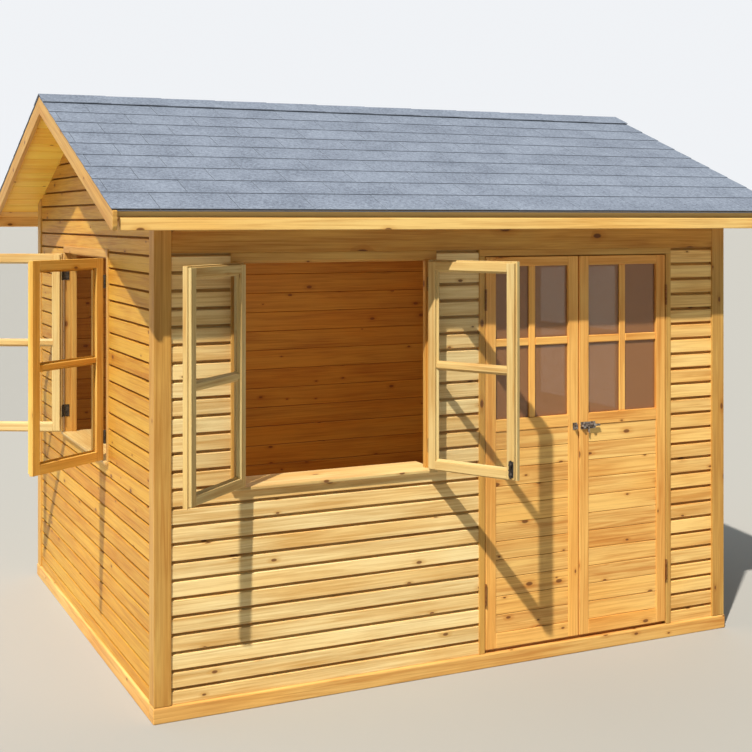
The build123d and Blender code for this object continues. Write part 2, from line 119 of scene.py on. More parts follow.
PIERS = solids("front_wall_piers")
SIDE_PIERS = solids("left_wall_piers")
HALF_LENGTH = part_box("base_rails_long")[1].x
HALF_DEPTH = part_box("base_rails_long")[1].y
RAIL_TOP = PIERS[0][0].z
SILL_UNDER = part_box("front_wall_below_window")[1].z
HEAD_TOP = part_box("front_wall_header")[0].z
SKIN_OUT = PIERS[0][0].y + HALF_DEPTH  # depth of the wall's outer face behind the rail's face
SKIN_IN = PIERS[0][1].y + HALF_DEPTH
SKIN_MID = (SKIN_OUT + SKIN_IN) / 2
HEADER_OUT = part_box("front_wall_header")[0].y + HALF_DEPTH
EAVE_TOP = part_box("front_wall_header")[1].z  # top of the front wall, at its room side
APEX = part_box("left_gable")[1].z
PITCH = math.atan2(APEX - EAVE_TOP, HALF_DEPTH - SKIN_IN)
print("walls", len(PIERS), "front piers, roof pitch", round(math.degrees(PITCH), 2), "degrees")

# %% [markdown]
# ## One board
# Every board on the building is sawn, planed and then softened at its edges. Each is made in its
# own small mesh: a cube is stretched to size and its edges are bevelled, or an outline is pushed
# along its length. Its map runs in metres, along and across the grain, and starts somewhere else
# in the tree for each board, so no two boards show the same knots. A number per board, called
# tone, lets the stain take a little darker on some than on others. A second number, called groove,
# marks the corners that lie deep in a joint, which the material darkens: partly for the stain and
# dust that gather there, partly as painted shade in the joint.

# %% Boards with grain
X, Y, Z = range(3)    # axes by number
TREE_SPAN = 60        # metres of tree, along and across, in which a board's map can start
BOARD_ARRIS = 0.0015
dice = random.Random(20)


def blank():
    """An empty mesh that carries the grain map, the tone of each board and its grooves."""
    bm = bmesh.new()
    bm.loops.layers.uv.new("grain")
    bm.verts.layers.float.new("tone")
    bm.verts.layers.float.new("groove")
    return bm


def lay_grain(bm, verts, along, seed=None):
    """Map one board, with u along the grain and v across it, and give it its own tone."""
    own = dice if seed is None else random.Random(seed)
    start = Vector((own.uniform(0, TREE_SPAN), own.uniform(0, TREE_SPAN)))
    tone = own.random()
    grain, shade = bm.loops.layers.uv["grain"], bm.verts.layers.float["tone"]
    across = [axis for axis in range(3) if axis != along]
    for vert in verts:
        vert[shade] = tone
    for face in {face: None for vert in verts for face in vert.link_faces}:
        flat = max(range(3), key=lambda axis: abs(face.normal[axis]))
        u, v = across if flat == along else (along, sum(across) - flat)
        for loop in face.loops:
            loop[grain].uv = start + Vector((loop.vert.co[u], loop.vert.co[v] + flat))


def board(low, high, along=X, arris=BOARD_ARRIS, seed=None, joint=None):
    """A planed board between two corners, which meets its neighbours along the axis joint."""
    bm = blank()
    low, high = Vector(low), Vector(high)
    bmesh.ops.create_cube(bm, size=1, matrix=Matrix.LocRotScale((low + high) / 2, None, high - low))
    bmesh.ops.bevel(bm, geom=bm.edges[:], offset=arris, segments=1, profile=0.5, affect="EDGES",
                    material=-1)
    lay_grain(bm, bm.verts, along, seed)
    # corners at the joint are marked for darkening: partly painted shade, partly stain and dust
    if joint is not None:
        groove = bm.verts.layers.float["groove"]
        for vert in bm.verts:
            vert[groove] = min(vert.co[joint] - low[joint], high[joint] - vert.co[joint]) < arris / 2
    return bm


def moulding(outline, x0, x1, seed=None):
    """A moulded board: an outline of (depth, height) points pushed along X."""
    bm = blank()
    end = bm.faces.new([bm.verts.new((x0, y, z)) for y, z in outline])
    pushed = bmesh.ops.extrude_face_region(bm, geom=[end])["geom"]
    bmesh.ops.translate(bm, vec=(x1 - x0, 0, 0),
                        verts=[g for g in pushed if isinstance(g, bmesh.types.BMVert)])
    bmesh.ops.recalc_face_normals(bm, faces=bm.faces)
    lay_grain(bm, bm.verts, X, seed)
    return bm


def clip(bm, point, normal):
    """Saw off what lies beyond a plane, and close the cut."""
    cut = bmesh.ops.bisect_plane(bm, geom=bm.verts[:] + bm.edges[:] + bm.faces[:], dist=MERGE,
                                 plane_co=point, plane_no=normal, clear_outer=True)["geom_cut"]
    rim = [g for g in cut if isinstance(g, bmesh.types.BMEdge) and g.is_boundary]
    if rim:
        bmesh.ops.edgeloop_fill(bm, edges=rim)
    return bm


def placed(boards, matrix):
    """The same boards, moved to where they are fixed."""
    for bm in boards:
        bm.transform(matrix)
    return boards


def gather(name, boards, material, stands_for=(), body="building"):
    """One piece from many boards: it rides on a body and stands for CAD nodes."""
    whole = bmesh.new()
    for bm in boards:
        mesh = bpy.data.meshes.new("board")
        bm.to_mesh(mesh)
        bm.free()
        whole.from_mesh(mesh)
        bpy.data.meshes.remove(mesh)
    bmesh.ops.recalc_face_normals(whole, faces=whole.faces)
    mesh = bpy.data.meshes.new(name)
    whole.to_mesh(mesh)
    whole.free()
    mesh.materials.append(material)
    piece = bpy.data.objects.new(name, mesh)
    bpy.context.collection.objects.link(piece)
    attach(piece, body)
    if stands_for:
        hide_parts(*stands_for)
    print(name, len(boards), "boards", len(mesh.polygons), "faces")
    return piece


FLAT_ANGLE = math.radians(2)    # faces that turn less are one face
SHARP_ANGLE = math.radians(35)  # edges that turn more are softened
TIMBER_ARRIS = 0.002


def dressed(node, turn=Matrix(), arris=TIMBER_ARRIS):
    """A CAD node's own solids with softened edges, and the grain along the longest side of each."""
    bare = node_mesh(node)
    bmesh.ops.dissolve_limit(bare, angle_limit=FLAT_ANGLE, verts=bare.verts, edges=bare.edges)
    mesh = bpy.data.meshes.new("bare")
    bare.to_mesh(mesh)
    bare.free()
    while mesh.attributes.get("custom_normal"):
        mesh.attributes.remove(mesh.attributes["custom_normal"])
    bm = blank()
    bm.from_mesh(mesh)
    bpy.data.meshes.remove(mesh)
    bm.transform(turn)
    sharp = [e for e in bm.edges if e.is_manifold and e.calc_face_angle(0) > SHARP_ANGLE]
    bmesh.ops.bevel(bm, geom=sharp, offset=arris, segments=2, profile=0.5, affect="EDGES",
                    clamp_overlap=True, material=-1)
    bm.normal_update()
    for island in islands(bm):
        low, high = extent(island)
        lay_grain(bm, island, max(range(3), key=lambda axis: (high - low)[axis]))
    bm.transform(turn.inverted())
    return bm


print("board helpers ready")

# %% [markdown]
# ## Stained pine
# The timber is softwood under a honey-coloured stain. Close up it shows fine fibres along the
# board, broader bands of early and late growth that wander, patches that took more stain, and small
# oval knots with a darker ring. The material reads the grain map, so all of this follows each
# board. Fibres and knots also stand a little proud, which breaks up the soft shine of the stain.

# %% Shader helpers
MATTE_SHEEN = 0.3  # specular level of stained or sanded surfaces


def tint(red, green, blue):
    """A colour given in screen values from 0 to 255, as the linear colour that shaders use."""
    return [(c / 255 / 12.92) if c < 11 else ((c / 255 + 0.055) / 1.055) ** 2.4
            for c in (red, green, blue)] + [1]


def make(tree, kind, sockets, **settings):
    """A shader node with its settings, and its sockets filled with values or joined to others."""
    node = tree.nodes.new(kind)
    for key, value in settings.items():
        setattr(node, key, value)
    for key, value in sockets.items():
        if isinstance(value, bpy.types.NodeSocket):
            tree.links.new(value, node.inputs[key])
        else:
            node.inputs[key].default_value = value
    return node


def surface(name):
    """A new material, its node tree and its main shader."""
    material = bpy.data.materials.new(name)
    material.use_nodes = True
    return material, material.node_tree, material.node_tree.nodes["Principled BSDF"]


def mixed(tree, share, first, second, blend="MIX"):
    """Two colours mixed by a share from 0 to 1."""
    node = make(tree, "ShaderNodeMix", {0: share, 6: first, 7: second}, data_type="RGBA",
                blend_type=blend)
    return node.outputs[2]


def ramp(tree, value, low, high, to_low=0.0, to_high=1.0):
    """A value spread from one range to another, held at the ends."""
    sockets = {0: value, 1: low, 2: high, 3: to_low, 4: to_high}
    return make(tree, "ShaderNodeMapRange", sockets).outputs[0]


def sums(tree, kind, *values):
    """A sum, product or other simple operation on values."""
    return make(tree, "ShaderNodeMath", dict(enumerate(values)), operation=kind).outputs[0]


# %% The pine material
WARM_STAIN = (1.0, 0.84, 0.6, 1)   # patches that took more stain are multiplied by this
LATE_WOOD = (0.72, 0.62, 0.5, 1)   # the thin lines of late growth by this
# the depth of a joint is darkened partly as painted shade, partly for the stain and dust there
JOINT_SHADE_AND_STAIN = (0.55, 0.45, 0.34, 1)  # and the depth of a joint by this
# how far a board's own tone, its fibres, its clouds and the rings round its knots deepen the stain
TONE_SHARE, FIBRE_SHARE, CLOUD_SHARE, HALO_SHARE = 0.5, 0.28, 0.5, 0.45
KNOT_SHARE = 0.85             # how much of its own colour a knot shows
KNOT_CELLS = (5.5, 11, 1)     # places for knots in a metre, along and across the grain
KNOT_SHARES = (0.035, 0.105)  # a knot's least and greatest radius in such a place
GRAIN_RELIEF = 0.0008


def stained_pine(name, pale, deep, knot, knots=0.17, knot_size=1.0, figure=0.35):
    """Softwood whose stain runs from pale to deep, with fibres, growth bands and knots."""
    material, tree, shader = surface(name)
    grain = make(tree, "ShaderNodeUVMap", {}, uv_map="grain").outputs[0]
    tone = make(tree, "ShaderNodeAttribute", {}, attribute_name="tone").outputs["Fac"]
    groove = make(tree, "ShaderNodeAttribute", {}, attribute_name="groove").outputs["Fac"]

    def noise(along, across, detail, roughness, distortion):
        """Noise with so many waves in a metre, along and across the grain."""
        spread = make(tree, "ShaderNodeMapping", {"Vector": grain, "Scale": (along, across, 1)})
        return make(tree, "ShaderNodeTexNoise",
                    {"Vector": spread.outputs[0], "Scale": 1, "Detail": detail,
                     "Roughness": roughness, "Distortion": distortion}).outputs[0]

    fibre = noise(7, 420, 3, 0.6, 0.2)
    bands = noise(1.5, 52, 3, 0.55, 1.4)
    late = noise(1.2, 120, 2, 0.5, 0.9)
    cloud = noise(2.2, 9, 2, 0.5, 0.3)
    warm = noise(0.9, 5, 2, 0.5, 0.4)
    cells = make(tree, "ShaderNodeTexVoronoi",
                 {"Vector": make(tree, "ShaderNodeMapping",
                                 {"Vector": grain, "Scale": KNOT_CELLS}).outputs[0],
                  "Scale": 1, "Randomness": 0.9}, voronoi_dimensions="2D")
    pick = make(tree, "ShaderNodeSeparateColor", {0: cells.outputs["Color"]})
    has_knot = sums(tree, "LESS_THAN", pick.outputs[0], knots)
    size = ramp(tree, pick.outputs[1], 0, 1, *(radius * knot_size for radius in KNOT_SHARES))
    reach = sums(tree, "DIVIDE", cells.outputs["Distance"], size)
    core = sums(tree, "MULTIPLY", ramp(tree, reach, 0.75, 1.15, 1, 0), has_knot)
    halo = sums(tree, "MULTIPLY", ramp(tree, reach, 1.0, 3.0, 1, 0), has_knot)

    depth = sums(tree, "MULTIPLY_ADD", tone, TONE_SHARE, ramp(tree, bands, 0.36, 0.68, -0.2, 0.5))
    depth = sums(tree, "MULTIPLY_ADD", ramp(tree, fibre, 0.3, 0.7, -0.5, 0.5), FIBRE_SHARE, depth)
    depth = sums(tree, "MULTIPLY_ADD", ramp(tree, cloud, 0.3, 0.7, -0.5, 0.5), CLOUD_SHARE, depth)
    depth = sums(tree, "MULTIPLY_ADD", halo, HALO_SHARE, depth)
    depth = make(tree, "ShaderNodeClamp", {0: depth}).outputs[0]
    colour = mixed(tree, depth, tint(*pale), tint(*deep))
    colour = mixed(tree, ramp(tree, warm, 0.42, 0.64, 0, 0.65), colour, WARM_STAIN, "MULTIPLY")
    colour = mixed(tree, ramp(tree, late, 0.54, 0.68, 0, figure), colour, LATE_WOOD, "MULTIPLY")
    colour = mixed(tree, sums(tree, "MULTIPLY", core, KNOT_SHARE), colour, tint(*knot))
    # joints darken with their depth: painted shade together with stain and dust
    colour = mixed(tree, ramp(tree, groove, 0.3, 0.8), colour, JOINT_SHADE_AND_STAIN, "MULTIPLY")
    height = sums(tree, "MULTIPLY_ADD", fibre, 0.6, sums(tree, "MULTIPLY", bands, 0.5))
    height = sums(tree, "MULTIPLY_ADD", core, 0.5, height)
    bump = make(tree, "ShaderNodeBump", {"Height": height, "Strength": 0.35, "Distance": GRAIN_RELIEF})
    tree.links.new(colour, shader.inputs["Base Color"])
    tree.links.new(ramp(tree, fibre, 0.3, 0.7, 0.44, 0.62), shader.inputs["Roughness"])
    tree.links.new(bump.outputs[0], shader.inputs["Normal"])
    shader.inputs["Specular IOR Level"].default_value = MATTE_SHEEN
    return material


KNOT = (104, 58, 26)
DARK_KNOT = (74, 38, 16)
ROOM_KNOT = (116, 66, 26)
FEW_KNOTS = 0.06
FRONT_PINE = stained_pine("front_pine", (246, 222, 164), (208, 167, 101), KNOT)
PIER_PINE = stained_pine("pier_pine", (248, 210, 134), (210, 156, 83), KNOT)
SIDE_PINE = stained_pine("side_pine", (212, 164, 66), (181, 122, 37), KNOT)
TRIM_PINE = stained_pine("trim_pine", (206, 163, 87), (176, 125, 56), KNOT)
HEADER_PINE = stained_pine("header_pine", (211, 167, 83), (174, 120, 49), DARK_KNOT, 0.24, 1.9)
FASCIA_PINE = stained_pine("fascia_pine", (242, 204, 128), (208, 156, 82), KNOT)
# the deck's stain is painted lighter than the timber is: painted light for the bounce that reaches the
# undersides of the roof
DECK_PINE_PAINTED_LIGHTER = stained_pine("deck_pine_painted_lighter", (250, 216, 92), (238, 180, 57), KNOT, FEW_KNOTS)
SASH_PINE = stained_pine("sash_pine", (212, 189, 132), (183, 143, 82), KNOT, FEW_KNOTS)
# a more orange copy of the sash pine for one leaf of the left window: partly its own stain, partly
# painted shade on its outer face
LEAF_PINE_WITH_PAINTED_SHADE = stained_pine("leaf_pine_with_painted_shade", (226, 187, 100), (196, 142, 61), KNOT, FEW_KNOTS)
DOOR_PINE = stained_pine("door_pine", (242, 188, 104), (208, 140, 63), KNOT)
PANEL_PINE = stained_pine("panel_pine", (244, 200, 120), (206, 144, 71), KNOT, 0.34, figure=0.5)
ROOM_PINE = stained_pine("room_pine", (200, 145, 54), (165, 106, 35), ROOM_KNOT, 0.16)
BASE_PINE = stained_pine("base_pine", (230, 186, 110), (196, 140, 70), KNOT)
print("wood materials", len(bpy.data.materials))

# %% [markdown]
# ## The walls, each seen from outside
# A wall is laid out as a carpenter sees it from outside: x runs to the right, y goes into the
# wall, and z is up. One matrix then turns each wall to its own side of the building. Rows of
# boards stop at the openings, and a row that meets a sill or a head is ripped to fit it.

# %% Where each wall stands
TO_FRONT = Matrix.Translation((0, -HALF_DEPTH, 0))
TO_BACK = Matrix.Rotation(math.pi, 4, "Z") @ TO_FRONT
TO_LEFT = Matrix.Rotation(-math.pi / 2, 4, "Z") @ Matrix.Translation((0, -HALF_LENGTH, 0))
TO_RIGHT = Matrix.Rotation(math.pi / 2, 4, "Z") @ Matrix.Translation((0, -HALF_LENGTH, 0))

FRONT_HALF = -PIERS[0][0].x  # from the middle of the front to the corner post
SIDE_HALF = -SIDE_PIERS[0][0].y
WINDOW = (PIERS[0][1].x, PIERS[1][0].x, SILL_UNDER, HEAD_TOP)
DOORWAY = (PIERS[1][1].x, PIERS[2][0].x, RAIL_TOP, HEAD_TOP)
SIDE_WINDOW = (SIDE_PIERS[0][1].y, SIDE_PIERS[1][0].y, SILL_UNDER, HEAD_TOP)  # on the right wall
LEFT_WINDOW = (-SIDE_WINDOW[1], -SIDE_WINDOW[0], SILL_UNDER, HEAD_TOP)
SLIVER = 0.004  # a strip narrower than this isn't fitted


def around(x0, x1, z0, z1, openings):
    """The pieces of one row of boards that are left round the openings."""
    pieces, edge = [], x0
    for left, right, low, high in openings:
        if z1 > low + SLIVER and z0 < high - SLIVER:
            pieces.append((edge, left, z0, z1))
            if z0 < low - SLIVER:
                pieces.append((left, right, z0, low))
            if z1 > high + SLIVER:
                pieces.append((left, right, high, z1))
            edge = right
    return pieces + [(edge, x1, z0, z1)]


def row_edges(first, cover, top):
    """The heights at which rows of boards meet, from the rail to the top."""
    edges = [RAIL_TOP]
    while edges[-1] < top - SLIVER:
        edges.append(min(top, first + cover * (len(edges) - 1)))
    return list(zip(edges, edges[1:]))


def under_roof(bm, gable):
    """Cut a board to the slope of the roof: two slopes on a gable, one on a long wall."""
    if gable:
        for side in (-1, 1):
            clip(bm, (0, 0, APEX), (side * math.sin(PITCH), 0, math.cos(PITCH)))
    else:
        clip(bm, (0, SKIN_IN, EAVE_TOP), (0, -math.sin(PITCH), math.cos(PITCH)))
    return bm


print("front wall half", round(FRONT_HALF, 3), "side wall half", round(SIDE_HALF, 3))

# %% [markdown]
# ## Shiplap outside
# The outer boards are shiplap. Each has a hollow along its top edge, and the square lower edge of
# the board above stands out over it, so every joint is a dark line with a bright lip. An
# outline with that hollow is pushed along the row, because a painted line would not throw the
# shadow. The hollow is also painted darker towards its depth, partly as painted shade and partly
# for stain and dust. The same seed serves all pieces of a row, since they are cut from one long board.

# %% Cut and fix the shiplap
COVER = 0.0757       # height that each shiplap board shows
FIRST_JOINT = 0.1364  # the lowest board of the long walls is trimmed to end here
SIDE_JOINT = 0.1274   # and that of the side walls
HOLLOW_HIGH = 0.0165
SIDE_HOLLOW = 0.011   # the side walls' boards have a tighter hollow
HOLLOW_DEEP = 0.015
HOLLOW_TURNS = (0, 25, 50, 70, 90)  # degrees round the hollow's quarter arc
LIP_ARRIS = 0.0014


def shiplap(x0, x1, z0, z1, seed, hollow_high):
    """One shiplap board, with its hollow at the top and its lip at the bottom."""
    start = z1 - hollow_high
    hollow = [(SKIN_OUT + HOLLOW_DEEP * math.sin(a), start + hollow_high * (1 - math.cos(a)))
              for a in map(math.radians, HOLLOW_TURNS)]
    outline = [(SKIN_OUT, z0 + LIP_ARRIS)] + hollow + [
        (SKIN_MID, z1), (SKIN_MID, z0), (SKIN_OUT + LIP_ARRIS, z0)]
    bm = moulding(outline, x0, x1, seed)
    # the hollow is marked darker towards its depth: partly painted shade, partly stain and dust
    groove = bm.verts.layers.float["groove"]
    for vert in bm.verts:
        vert[groove] = min(1, (vert.co.y - SKIN_OUT) / HOLLOW_DEEP)
    return bm


def clad(half, openings, top, gable, seed, first=FIRST_JOINT, hollow=HOLLOW_HIGH):
    """All shiplap of one wall, up to a given height, cut to its openings and the roof."""
    boards = []
    for row, (z0, z1) in enumerate(row_edges(first, COVER, top)):
        for x0, x1, low, high in around(-half, half, z0, z1, openings):
            bm = shiplap(x0, x1, z0, z0 + COVER if z1 == top else z1, seed + row, hollow)
            if low > z0:
                clip(bm, (0, 0, low), (0, 0, -1))
            if high < z1 or z1 == top:
                clip(bm, (0, 0, high), (0, 0, 1))
            if z1 > HEAD_TOP:
                under_roof(bm, gable)
            boards.append(bm)
    return [bm for bm in boards if bm.faces]


ROWS_FRONT, ROWS_LEFT, ROWS_RIGHT, ROWS_BACK = 100, 200, 300, 400  # seeds of the first rows
front_boards = clad(FRONT_HALF, [WINDOW, DOORWAY], HEAD_TOP, False, ROWS_FRONT)
right_pier = [bm for bm in front_boards if min(v.co.x for v in bm.verts) > DOORWAY[1] - SLIVER]
front_boards = [bm for bm in front_boards if bm not in right_pier]
gather("front_shiplap", placed(front_boards, TO_FRONT), FRONT_PINE,
       ["front_wall_piers", "front_wall_below_window"])
gather("right_pier_shiplap", placed(right_pier, TO_FRONT), PIER_PINE)
left_boards = clad(SIDE_HALF, [LEFT_WINDOW], APEX, True, ROWS_LEFT, SIDE_JOINT, SIDE_HOLLOW)
gather("left_shiplap", placed(left_boards, TO_LEFT), SIDE_PINE,
       ["left_wall_piers", "left_wall_below_window", "left_gable"])
right_boards = clad(SIDE_HALF, [SIDE_WINDOW], APEX, True, ROWS_RIGHT, SIDE_JOINT, SIDE_HOLLOW)
gather("right_shiplap", placed(right_boards, TO_RIGHT), SIDE_PINE,
       ["right_wall_piers", "right_wall_below_window", "right_gable"])
back_boards = clad(FRONT_HALF, [], EAVE_TOP, False, ROWS_BACK)
gather("back_shiplap", placed(back_boards, TO_BACK), FRONT_PINE, ["back_wall"])

# %% [markdown]
# ## The wide board over the front
# Above the window and the doors one wide plank runs from post to post. It stands a few
# millimetres proud of the shiplap, so it drops a thin shadow. It is a plain board, sawn at its top
# to the slope of the roof.

# %% Header board
header = board((-FRONT_HALF, HEADER_OUT, HEAD_TOP), (FRONT_HALF, SKIN_MID, EAVE_TOP),
               seed=ROWS_FRONT)
under_roof(header, False)
gather("front_header_board", placed([header], TO_FRONT), HEADER_PINE,
       ["front_wall_header"])

# %% [markdown]
# ## Lining inside
# Through the open window the room shows its own boards: tongued and grooved lining, stained a
# warmer brown. The boards are flat with a small V where they meet, and they take the inner half of
# the wall's thickness, so the two skins together fill the CAD wall and let no light through.

# %% Line the room
LINING_COVER = 0.12
LINING_V = 0.0035


def line_room(half, openings, top, gable, seed):
    """All lining of one wall, cut to its openings and the roof."""
    boards = []
    for row, (z0, z1) in enumerate(row_edges(RAIL_TOP + LINING_COVER, LINING_COVER, top)):
        for x0, x1, low, high in around(-half, half, z0, z1, openings):
            bm = board((x0, SKIN_MID, low), (x1, SKIN_IN, high), arris=LINING_V, seed=seed + row,
                       joint=Z)
            boards.append(under_roof(bm, gable) if z1 > HEAD_TOP else bm)
    return [bm for bm in boards if bm.faces]


LINING_FRONT, LINING_LEFT, LINING_RIGHT, LINING_BACK = 500, 550, 600, 650  # seeds again
lining = placed(line_room(FRONT_HALF, [WINDOW, DOORWAY], EAVE_TOP, False, LINING_FRONT), TO_FRONT)
lining += placed(line_room(SIDE_HALF, [LEFT_WINDOW], APEX, True, LINING_LEFT), TO_LEFT)
lining += placed(line_room(SIDE_HALF, [SIDE_WINDOW], APEX, True, LINING_RIGHT), TO_RIGHT)
lining += placed(line_room(FRONT_HALF, [], EAVE_TOP, False, LINING_BACK), TO_BACK)
gather("room_lining", lining, ROOM_PINE)

# %% [markdown]
# ## Rails, posts and frames
# These timbers are single sticks with square section, so the CAD solids already have their shape.
# A planed stick is never knife sharp, so each gets a small rounding on every arris, and grain
# along its length.

# %% Dress the single timbers
BASE_ARRIS = 0.006  # the base rails have a wide lit chamfer
WORN_ARRIS = 0.003  # and the timbers that the weather reaches most are rounder than the rest
SLOPE_DOWN = Matrix.Rotation(-PITCH, 4, "X")  # lays the front roof slope level


def timbers(name, nodes, material, arris=TIMBER_ARRIS):
    """One piece from the dressed solids of some CAD nodes."""
    return gather(name, [dressed(node, arris=arris) for node in nodes], material, nodes)


timbers("base_frame", ["base_rails_long", "base_rails_short"], BASE_PINE, BASE_ARRIS)
timbers("bearers", ["floor_bearers"], BASE_PINE)
timbers("posts", ["corner_posts"], TRIM_PINE, WORN_ARRIS)
timbers("window_frames", ["window_jambs", "window_heads"], TRIM_PINE)
timbers("sills", ["window_sills"], SASH_PINE, WORN_ARRIS)
timbers("door_frame", ["door_jambs", "door_head"], TRIM_PINE)
# the roof beams share the deck's stain, which is painted lighter as painted light
timbers("roof_timbers", ["roof_beams"], DECK_PINE_PAINTED_LIGHTER)
timbers("fascias", ["fascia_boards"], FASCIA_PINE, WORN_ARRIS)
gather("bargeboards", [dressed("front_bargeboards", SLOPE_DOWN, WORN_ARRIS),
                       dressed("back_bargeboards", SLOPE_DOWN.inverted(), WORN_ARRIS)],
       TRIM_PINE, ["front_bargeboards", "back_bargeboards"])

# %% [markdown]
# ## The floor
# The floor is a deck of tongued and grooved boards over the bearers. They run along the building,
# across the bearers that carry them.

# %% Floor boards
FLOOR_COVER = 0.113
floor_low, floor_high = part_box("floor_deck")
floor_count = round((floor_high.y - floor_low.y) / FLOOR_COVER)
floor_step = (floor_high.y - floor_low.y) / floor_count
floor_boards = [board((floor_low.x, floor_low.y + n * floor_step, floor_low.z),
                      (floor_high.x, floor_low.y + (n + 1) * floor_step, floor_high.z),
                      arris=TIMBER_ARRIS, joint=Y) for n in range(floor_count)]
gather("floor_boards", floor_boards, ROOM_PINE, ["floor_deck"])

# %% [markdown]
# ## Casements
# A casement is a light frame round one pane with a bar across its middle. Its outer edge is
# stepped on the room side, where it closes against the frame, and small beads hold the glass. Each
# leaf is built shut, in two layers that make the step, then turned on its hinge pin as far as it
# stands open. The shut leaves of the right window give the sizes.

# %% Build one leaf shut
shut = solids("right_window_sashes")[0]
SIDE_MIDDLE = (SIDE_WINDOW[0] + SIDE_WINDOW[1]) / 2
LEAF_LEFT, LEAF_RIGHT = shut[0].y - SIDE_MIDDLE, shut[1].y - SIDE_MIDDLE
LEAF_LOW, LEAF_HIGH = shut[0].z, shut[1].z
LEAF_FACE, LEAF_BACK = HALF_LENGTH - shut[1].x, HALF_LENGTH - shut[0].x
MEMBER = 0.045       # width of stiles and rails
LIP_DEEP = 0.022     # thickness of the outer layer
LIP_WIDE = 0.007
PANE_FACE = 0.012    # the glass lies this far behind the leaf's face
PANE_THICK = 0.004
BEAD = 0.009
BEAD_TOP_SHARE = 0.4
BAR_WIDE = 0.024
BAR_FACE = 0.003     # the bar lies this far behind the leaf's face
BAR_BACK = 0.006     # and this far inside its back
LEAF_ARRIS = 0.0012
PIN_SIDE = 0.002     # from the leaf's edge to its hinge pin
PIN_OUT = 0.0055     # from the leaf's face to its hinge pin


def ring(low, high, wide, y0, y1, arris):
    """Two stiles with two rails between them, round the given rectangle of (x, z)."""
    (x0, z0), (x1, z1) = low, high
    sticks = [board((a, y0, z0), (a + wide, y1, z1), Z, arris) for a in (x0, x1 - wide)]
    return sticks + [board((x0 + wide, y0, b), (x1 - wide, y1, b + wide), X, arris)
                     for b in (z0, z1 - wide)]


def bead(x0, x1, z, up, y):
    """A sloped bead along X that holds the glass: up is 1 on a lower edge and -1 on an upper one."""
    outline = [(y, z), (y, z + up * BEAD), (y + BEAD * BEAD_TOP_SHARE, z + up * BEAD), (y + BEAD, z)]
    return moulding(outline, x0, x1)


def upright(bm, x, z):
    """The same stick turned to stand: its length goes up, and its height goes to the left."""
    bm.transform(Matrix.Translation((x, 0, z)) @ Matrix.Rotation(-math.pi / 2, 4, "Y"))
    return bm


def beads(low, high, y):
    """Beads on the four sides of a pane, on the side of the glass that faces the room."""
    (x0, z0), (x1, z1) = low, high
    sticks = [bead(x0, x1, z0, 1, y), bead(x0, x1, z1, -1, y)]
    return sticks + [upright(bead(0, z1 - z0, 0, -up, y), x, z0) for x, up in ((x0, 1), (x1, -1))]


def leaf():
    """One leaf of a casement, shut, hung on its left."""
    glass_back = LEAF_FACE + PANE_FACE + PANE_THICK
    middle = (LEAF_LOW + LEAF_HIGH) / 2
    sticks = ring((LEAF_LEFT, LEAF_LOW), (LEAF_RIGHT, LEAF_HIGH), MEMBER, LEAF_FACE,
                  LEAF_FACE + LIP_DEEP, LEAF_ARRIS)
    sticks += ring((LEAF_LEFT + LIP_WIDE, LEAF_LOW + LIP_WIDE),
                   (LEAF_RIGHT - LIP_WIDE, LEAF_HIGH - LIP_WIDE),
                   MEMBER - LIP_WIDE, LEAF_FACE + LIP_DEEP, LEAF_BACK, LEAF_ARRIS)
    inner = LEAF_LEFT + MEMBER, LEAF_RIGHT - MEMBER
    bar_low, bar_high = middle - BAR_WIDE / 2, middle + BAR_WIDE / 2
    sticks.append(board((inner[0], LEAF_FACE + BAR_FACE, bar_low),
                        (inner[1], LEAF_BACK - BAR_BACK, bar_high), X, TIMBER_ARRIS))
    for z0, z1 in ((LEAF_LOW + MEMBER, bar_low), (bar_high, LEAF_HIGH - MEMBER)):
        sticks += beads((inner[0], z0), (inner[1], z1), glass_back)
    return sticks


print("leaf", round(LEAF_RIGHT - LEAF_LEFT, 3), "by", round(LEAF_HIGH - LEAF_LOW, 3))

# %% Hang the six leaves
OPEN = {"front": (138, 119), "left": (118, 125), "right": (0, 0)}  # degrees: left-hung, right-hung
WINDOW_AT = {"front": TO_FRONT @ Matrix.Translation(((WINDOW[0] + WINDOW[1]) / 2, 0, 0)),
             "left": TO_LEFT @ Matrix.Translation((-SIDE_MIDDLE, 0, 0)),
             "right": TO_RIGHT @ Matrix.Translation((SIDE_MIDDLE, 0, 0))}
PIN = Vector((LEAF_LEFT - PIN_SIDE, LEAF_FACE - PIN_OUT, 0))


def swung(degrees, right_hung):
    """The matrix that opens a left-hung leaf about its pin, or its half-turned twin on the right."""
    turn = Matrix.Translation(PIN) @ Matrix.Rotation(-math.radians(degrees), 4, "Z")
    turn = turn @ Matrix.Translation(-PIN)
    return Matrix.Scale(-1, 4, (1, 0, 0)) @ turn if right_hung else turn


HUNG = ("left_hung", "right_hung")
for side, angles in OPEN.items():
    node, corners = side + "_window_sashes", []
    for right_hung, degrees in enumerate(angles):
        # that leaf's more orange pine is partly painted shade
        pine = LEAF_PINE_WITH_PAINTED_SHADE if (side, right_hung) == ("left", 1) else SASH_PINE
        sticks = placed(leaf(), WINDOW_AT[side] @ swung(degrees, right_hung))
        piece = gather(side + "_casement_" + HUNG[right_hung], sticks, pine,
                       [] if right_hung else [node])
        corners += piece.data.vertices
    off = max(abs(a - b) for made, cad in zip(extent(corners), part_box(node))
              for a, b in zip(made, cad))
    print(side, "casements are within", round(off * 1000, 2), "mm of the CAD leaves")

# %% [markdown]
# ## Doors
# Each door is a stiff frame of stiles and rails. Its lower part is filled with boards laid across,
# and its upper part is a window of four panes under a cross of glazing bars. The bars sit on both
# faces of one sheet of glass, and beads run round it.

# %% Build the two doors
DOOR_STILE = 0.055
DOOR_BAR = 0.036
BAR_STANDS = 0.009   # how far a glazing bar stands out from the glass
PANEL_COVER = 0.086
PANEL_BACK = 0.004   # the panel's boards lie this far behind the face of the frame
PANEL_V = 0.003
DOOR_ARRIS = 0.0018
DOOR_BAR_ARRIS = 0.003


